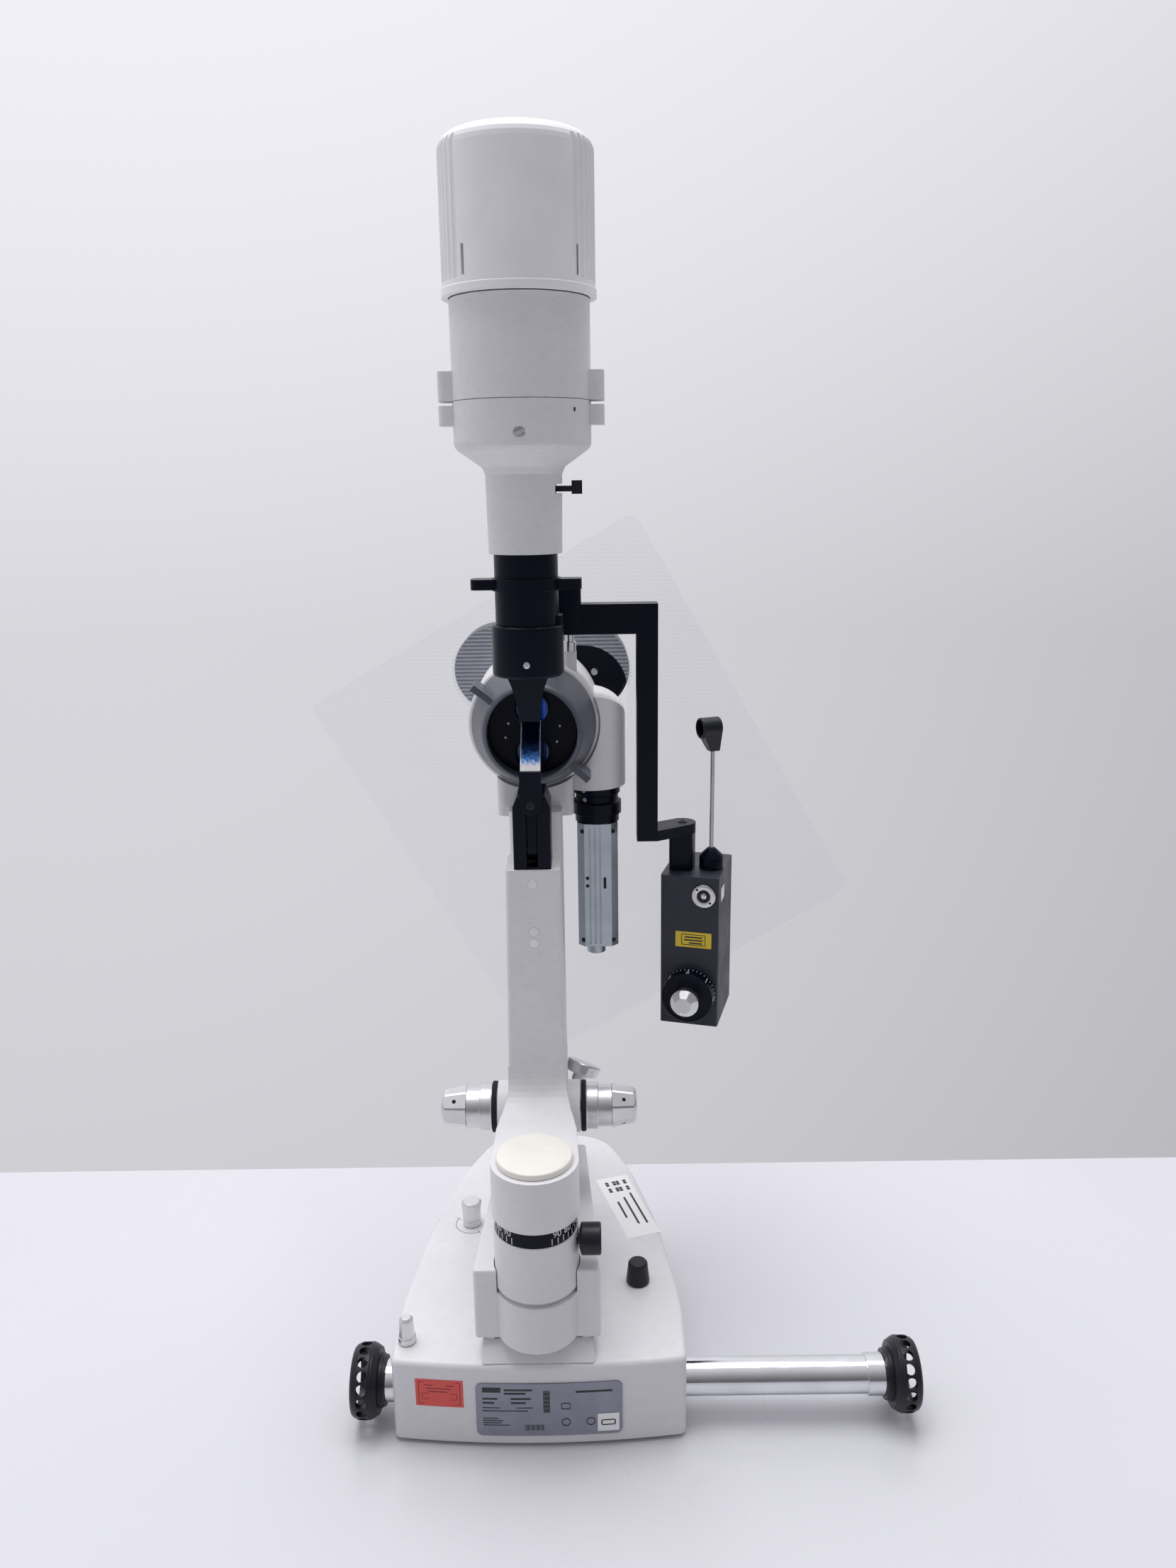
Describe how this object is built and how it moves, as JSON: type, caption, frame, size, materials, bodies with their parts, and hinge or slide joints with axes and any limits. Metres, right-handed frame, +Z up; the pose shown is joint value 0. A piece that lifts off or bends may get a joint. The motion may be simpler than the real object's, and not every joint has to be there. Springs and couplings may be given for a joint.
{
  "type": "slit lamp",
  "caption": "Table-top slit lamp: lamp tower and stereo microscope on two arms that swing about one column, on a joystick base with a cross axle; video camera and parked tonometer.",
  "frame": {"origin": "on the column axis about which both arms swing, in the plane of the surface the base stands on", "axes": "+Z up along the column, +Y from the patient towards the examiner, +X to the right as the patient sees the instrument"},
  "size_m": [0.3876, 0.326, 0.7437],
  "materials": {
    "white_paint": "fine textured off-white enamel",
    "grey_paint": "satin dark grey enamel",
    "black_paint": "satin bluish black enamel",
    "tono_paint": "fine textured blue-black enamel",
    "cap_plastic": "moulded light grey plastic",
    "black_plastic": "moulded black plastic",
    "pad_plastic": "hard glide plastic",
    "cream_plastic": "smooth cream plastic",
    "steel": "ground steel",
    "chrome": "polished chrome plate",
    "satin_aluminium": "satin anodised",
    "camera_metal": "grey-green anodised extrusion",
    "bronze": "machined bearing bronze",
    "rubber": "soft black rubber",
    "optical_glass": "coated lens glass",
    "clear_sheet": "clear acrylic sheet",
    "lamp_glass": "clear bulb",
    "mirror_glass": "front-silvered glass"
  },
  "bodies": {
    "base": {"base_housing": "white_paint", "base_plate": "steel", "glide_pads": "pad_plastic", "front_plate": "satin_aluminium", "pedestal_cover": "white_paint", "guide_rods": "steel", "axle_bushes": "bronze"},
    "axle_spin": {"axle_sleeve": "steel"},
    "axle": {"axle_shaft": "chrome", "wheel_left": "black_plastic", "wheel_right": "black_plastic"},
    "release_knob": {"release_knob": "satin_aluminium"},
    "base_lock_knob": {"base_lock_knob": "satin_aluminium"},
    "brake_knob": {"brake_knob": "black_plastic"},
    "joystick_gimbal": {"joystick_gimbal": "steel"},
    "joystick_stem": {"joystick_stem": "chrome"},
    "joystick_grip": {"joystick_grip": "rubber"},
    "joystick_button": {"joystick_button": "satin_aluminium"},
    "carriage": {"carriage_box": "white_paint", "lift_screw": "steel", "spindle": "steel", "spindle_cap": "cream_plastic"},
    "microscope": {"microscope_arm": "white_paint", "angle_scale": "black_paint", "microscope_body": "white_paint", "side_housing": "white_paint", "camera_adapter": "black_paint", "camera_body": "camera_metal", "breath_shield": "clear_sheet", "tonometer_pin": "chrome"},
    "arm_lock_knob": {"arm_lock_knob": "black_plastic"},
    "arm_clamp_knob": {"arm_clamp_knob": "satin_aluminium"},
    "magnification": {"magnification_ring": "grey_paint", "objective_turret": "black_paint", "objective_lenses": "optical_glass"},
    "prism_left": {"prism_housing_left": "black_paint"},
    "prism_right": {"prism_housing_right": "black_paint"},
    "eyepiece_left": {"eyepiece_left": "rubber"},
    "eyepiece_right": {"eyepiece_right": "rubber"},
    "tonometer": {"tonometer_arm": "tono_paint", "tonometer_box": "tono_paint"},
    "drum": {"tonometer_drum": "black_paint", "drum_knob": "satin_aluminium"},
    "sensor": {"prism_rod": "steel", "prism_holder": "black_plastic"},
    "illumination": {"illumination_arm": "white_paint", "arm_plugs": "satin_aluminium", "tilt_block": "black_paint"},
    "slit_width": {"slit_shaft": "steel", "slit_width_knobs": "satin_aluminium"},
    "tower": {"tower_neck": "black_paint", "slit_mirror": "mirror_glass", "tower_collar": "black_paint", "slit_tube": "black_paint", "tower_housing": "white_paint", "lamp_housing": "white_paint", "lamp_bulb": "lamp_glass"},
    "slit_ring": {"slit_ring": "black_paint"},
    "filter_lever": {"filter_lever": "black_plastic"},
    "lamp_cap": {"lamp_cap": "cap_plastic"}
  },
  "joints": [
    {"name": "axle_roll", "type": "hinge", "parent": "base", "child": "axle_spin", "pos_m": [0, 0.007, 0.027], "axis": [1, 0, 0], "continuous": true},
    {"name": "axle_slide", "type": "slide", "parent": "axle_spin", "child": "axle", "axis": [1, 0, 0], "range_m": [-0.105, 0]},
    {"name": "release_turn", "type": "hinge", "parent": "base", "child": "release_knob", "pos_m": [-0.052, 0.121, 0.06], "axis": [0, 0, 1], "range_deg": [0, 270]},
    {"name": "base_lock_turn", "type": "hinge", "parent": "base", "child": "base_lock_knob", "pos_m": [-0.081, 0.0035, 0.06], "axis": [0, 0, 1], "range_deg": [0, 270]},
    {"name": "brake_turn", "type": "hinge", "parent": "base", "child": "brake_knob", "pos_m": [0.0626, 0.0565, 0.06], "axis": [0, 0, 1], "range_deg": [0, 270]},
    {"name": "joystick_lean_side", "type": "hinge", "parent": "base", "child": "joystick_gimbal", "pos_m": [0, 0.2, 0.053], "axis": [0, 1, 0], "range_deg": [-10, 10]},
    {"name": "joystick_lean_fore", "type": "hinge", "parent": "joystick_gimbal", "child": "joystick_stem", "pos_m": [0, 0.2, 0.053], "axis": [1, 0, 0], "range_deg": [-10, 10]},
    {"name": "joystick_twist", "type": "hinge", "parent": "joystick_stem", "child": "joystick_grip", "pos_m": [0, 0.2, 0.09], "axis": [0, 0, 1], "range_deg": [-62, 812]},
    {"name": "joystick_press", "type": "slide", "parent": "joystick_grip", "child": "joystick_button", "axis": [0, 0, -1], "range_m": [0, 0.002], "stiffness_N_per_m": 300},
    {"name": "lift", "type": "slide", "parent": "base", "child": "carriage", "axis": [0, 0, 1], "range_m": [-0.002, 0.027]},
    {"name": "microscope_swing", "type": "hinge", "parent": "carriage", "child": "microscope", "pos_m": [0, 0, 0.124], "axis": [0, 0, 1], "range_deg": [-60, 60]},
    {"name": "illumination_swing", "type": "hinge", "parent": "microscope", "child": "illumination", "pos_m": [0, 0, 0.167], "axis": [0, 0, -1], "range_deg": [-60, 60]},
    {"name": "arm_lock_turn", "type": "hinge", "parent": "microscope", "child": "arm_lock_knob", "pos_m": [0.03, -0.006, 0.1355], "axis": [1, 0, 0], "range_deg": [0, 270]},
    {"name": "arm_clamp_turn", "type": "hinge", "parent": "microscope", "child": "arm_clamp_knob", "pos_m": [0.0295, 0.131, 0.177], "axis": [0.3715, 0.3414, 0.8634], "range_deg": [0, 270]},
    {"name": "magnification_turn", "type": "hinge", "parent": "microscope", "child": "magnification", "pos_m": [0, 0.125, 0.4163], "axis": [0, 1, 0], "continuous": true},
    {"name": "pd_right", "type": "hinge", "parent": "microscope", "child": "prism_right", "pos_m": [0.023, 0.2, 0.44], "axis": [0, 1, 0], "range_deg": [-20, 20]},
    {"name": "pd_left", "type": "hinge", "parent": "microscope", "child": "prism_left", "pos_m": [-0.017, 0.2, 0.44], "axis": [0, 1, 0], "range_deg": [-20, 20]},
    {"name": "dioptre_right", "type": "hinge", "parent": "prism_right", "child": "eyepiece_right", "pos_m": [0.037, 0.25, 0.43], "axis": [0, 1, 0], "range_deg": [-150, 150]},
    {"name": "dioptre_left", "type": "hinge", "parent": "prism_left", "child": "eyepiece_left", "pos_m": [-0.031, 0.25, 0.43], "axis": [0, 1, 0], "range_deg": [-150, 150]},
    {"name": "tonometer_swing", "type": "hinge", "parent": "microscope", "child": "tonometer", "pos_m": [0.0234, 0.14, 0.48], "axis": [0, 0, 1], "range_deg": [-60, 0]},
    {"name": "drum_turn", "type": "hinge", "parent": "tonometer", "child": "drum", "pos_m": [0.10144, 0.1337, 0.227], "axis": [0.2723, 0.9622, 0], "range_deg": [0, 320]},
    {"name": "feeler_rock", "type": "hinge", "parent": "tonometer", "child": "sensor", "pos_m": [0.11731, 0.15342, 0.312], "axis": [0.2723, 0.9622, 0], "range_deg": [-2, 2], "stiffness_Nm_per_rad": 0.12},
    {"name": "slit_width_turn", "type": "hinge", "parent": "illumination", "child": "slit_width", "pos_m": [0, 0.078, 0.1746], "axis": [1, 0, 0], "range_deg": [-90, 90]},
    {"name": "tower_tilt", "type": "hinge", "parent": "illumination", "child": "tower", "pos_m": [0, 0.078, 0.354], "axis": [1, 0, 0], "range_deg": [0, 20]},
    {"name": "slit_rotation", "type": "hinge", "parent": "tower", "child": "slit_ring", "pos_m": [0, 0.078, 0.51], "axis": [0, 0, 1], "range_deg": [-90, 90]},
    {"name": "filter_turn", "type": "hinge", "parent": "tower", "child": "filter_lever", "pos_m": [0, 0.078, 0.563], "axis": [0, 0, 1], "range_deg": [-20, 20]},
    {"name": "lamp_cap_lift", "type": "slide", "parent": "tower", "child": "lamp_cap", "axis": [0, 0, 1], "range_m": [0, 0.09]}
  ],
  "couplings": [
    {"joint": "joystick_twist", "follows": "lift", "rad_per_m": 523.6},
    {"joint": "pd_left", "follows": "pd_right", "ratio": -1}
  ]
}
